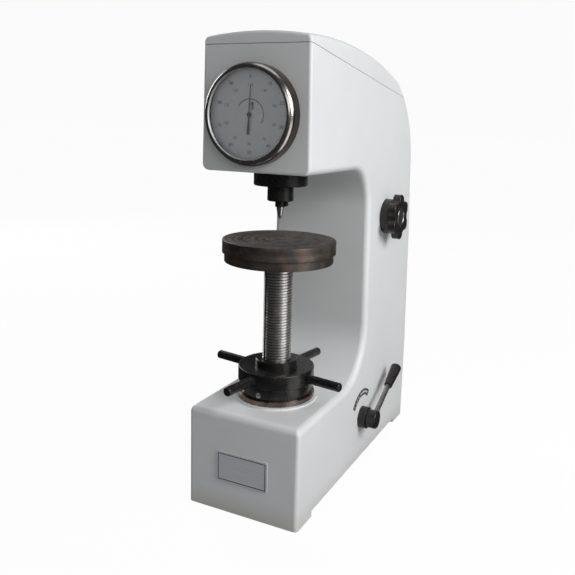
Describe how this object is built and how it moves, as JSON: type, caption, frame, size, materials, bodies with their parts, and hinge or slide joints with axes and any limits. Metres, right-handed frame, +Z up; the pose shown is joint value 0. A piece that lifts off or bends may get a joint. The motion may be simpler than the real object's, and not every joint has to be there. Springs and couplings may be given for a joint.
{
  "type": "hardness tester",
  "caption": "Bench hardness tester: C-shaped cast stand, dial, spindle with indenter over a round table on a screw with a handwheel, load handle and selector knob.",
  "frame": {"origin": "on the bench surface, at the centre of the four foot holes", "axes": "+X to the operator's right, +Y from the operator to the back, +Z up along the screw and spindle"},
  "size_m": [0.2182, 0.4519, 0.633],
  "materials": {
    "cast_paint": "cool white enamel",
    "cover_paint": "cool white enamel",
    "plate": "satin anodised",
    "black_steel": "black oxide",
    "brown_steel": "browned and oiled",
    "bright_steel": "ground",
    "chrome_ring": "polished",
    "glass": "clear",
    "dial_white": "matt enamel",
    "pointer_black": "matt",
    "brass": "turned",
    "cast_iron": "machined",
    "black_plastic": "moulded",
    "spring_steel": "oiled"
  },
  "bodies": {
    "stand": {"body_casting": "cast_paint", "rear_cover": "cast_paint", "rear_cover_screws": "bright_steel", "locating_pins": "bright_steel", "name_plate": "plate", "seat_ring": "brown_steel", "guide_sleeve": "black_steel", "key_screw": "bright_steel", "thrust_bearing": "bright_steel", "spindle_bush": "black_steel", "dial_case": "black_plastic", "movement_plate": "brass", "counter_face": "dial_white", "fulcrum_bracket": "cast_iron", "selector_base": "black_plastic", "handle_bush": "black_plastic", "fork_pivot_pin": "bright_steel", "dashpot_bracket": "cast_iron", "dashpot_cylinder": "cast_iron", "dashpot_lid": "cast_iron"},
    "cover": {"top_cover": "cover_paint"},
    "handwheel": {"handwheel_hub": "black_steel", "handwheel_rods": "black_steel"},
    "screw": {"elevating_screw": "bright_steel", "anvil": "brown_steel"},
    "spindle_group": {"spindle": "black_steel", "indenter": "bright_steel", "clamp_screw": "bright_steel", "spindle_nut": "black_steel", "preload_spring": "spring_steel", "measuring_arm": "brass", "dial_plunger": "bright_steel"},
    "bezel": {"dial_bezel": "chrome_ring", "dial_glass": "glass", "dial_face": "dial_white"},
    "pointer": {"pointer_arbor": "bright_steel", "long_pointer": "pointer_black"},
    "counter": {"short_pointer": "pointer_black"},
    "lever": {"main_lever": "cast_iron", "lever_knife_edges": "bright_steel"},
    "hanger": {"hanger_stirrup": "cast_iron", "hanger_rod": "bright_steel", "weight_pan": "cast_iron", "base_weight": "cast_iron", "dashpot_piston": "bright_steel"},
    "handle": {"handle_shaft": "bright_steel", "handle_hub": "black_plastic", "handle_rod": "bright_steel", "handle_grip": "black_plastic", "lifting_cam": "cast_iron"},
    "fork": {"lifting_fork": "cast_iron"},
    "selector": {"selector_shaft": "bright_steel", "selector_cams": "bright_steel", "selector_knob": "black_plastic", "knob_disc": "bright_steel"},
    "carrier": {"weight_carrier": "cast_iron", "middle_weight": "cast_iron", "top_weight": "cast_iron"}
  },
  "joints": [
    {"name": "handwheel_turn", "type": "hinge", "parent": "stand", "child": "handwheel", "pos_m": [0, -0.121, 0.177], "axis": [0, 0, 1], "range_deg": [-1980, 12240]},
    {"name": "screw_lift", "type": "slide", "parent": "stand", "child": "screw", "axis": [0, 0, 1], "range_m": [-0.136, 0.022]},
    {"name": "spindle_rise", "type": "slide", "parent": "stand", "child": "spindle_group", "axis": [0, 0, 1], "range_m": [0, 0.0006]},
    {"name": "pointer_turn", "type": "hinge", "parent": "stand", "child": "pointer", "pos_m": [0, -0.208, 0.5295], "axis": [0, 1, 0], "range_deg": [0, 1080]},
    {"name": "counter_turn", "type": "hinge", "parent": "stand", "child": "counter", "pos_m": [0.004, -0.207, 0.543], "axis": [0, 1, 0], "range_deg": [-108, 0]},
    {"name": "bezel_turn", "type": "hinge", "parent": "stand", "child": "bezel", "pos_m": [0, -0.205, 0.5295], "axis": [0, 1, 0], "continuous": true},
    {"name": "hanger_fall", "type": "slide", "parent": "stand", "child": "hanger", "axis": [0, 0, 1], "range_m": [-0.01, 0]},
    {"name": "handle_turn", "type": "hinge", "parent": "stand", "child": "handle", "pos_m": [0.1, 0.008, 0.075], "axis": [1, 0, 0], "range_deg": [0, 110]},
    {"name": "fork_tilt", "type": "hinge", "parent": "stand", "child": "fork", "pos_m": [0, 0.05, 0.052], "axis": [1, 0, 0], "range_deg": [-8.72, 0]},
    {"name": "lever_tilt", "type": "hinge", "parent": "stand", "child": "lever", "pos_m": [0, -0.1335, 0.5818], "axis": [1, 0, 0], "range_deg": [-2.29, 0]},
    {"name": "carrier_fall", "type": "slide", "parent": "stand", "child": "carrier", "axis": [0, 0, 1], "range_m": [-0.012, 0]},
    {"name": "selector_turn", "type": "hinge", "parent": "stand", "child": "selector", "pos_m": [0.1, 0.086, 0.381], "axis": [1, 0, 0], "range_deg": [0, 240]},
    {"name": "cover_lift", "type": "slide", "parent": "stand", "child": "cover", "axis": [0, 0, 1], "range_m": [0, 0.08]}
  ],
  "couplings": [
    {"joint": "screw_lift", "follows": "handwheel_turn", "m_per_rad": -0.00063662},
    {"joint": "pointer_turn", "follows": "spindle_rise", "rad_per_m": 31416},
    {"joint": "counter_turn", "follows": "spindle_rise", "rad_per_m": -3141.6},
    {"joint": "handle_turn", "follows": "hanger_fall", "rad_per_m": -191.99},
    {"joint": "fork_tilt", "follows": "hanger_fall", "rad_per_m": 15.21},
    {"joint": "lever_tilt", "follows": "hanger_fall", "rad_per_m": 4.001},
    {"joint": "selector_turn", "follows": "carrier_fall", "rad_per_m": -349.06}
  ]
}
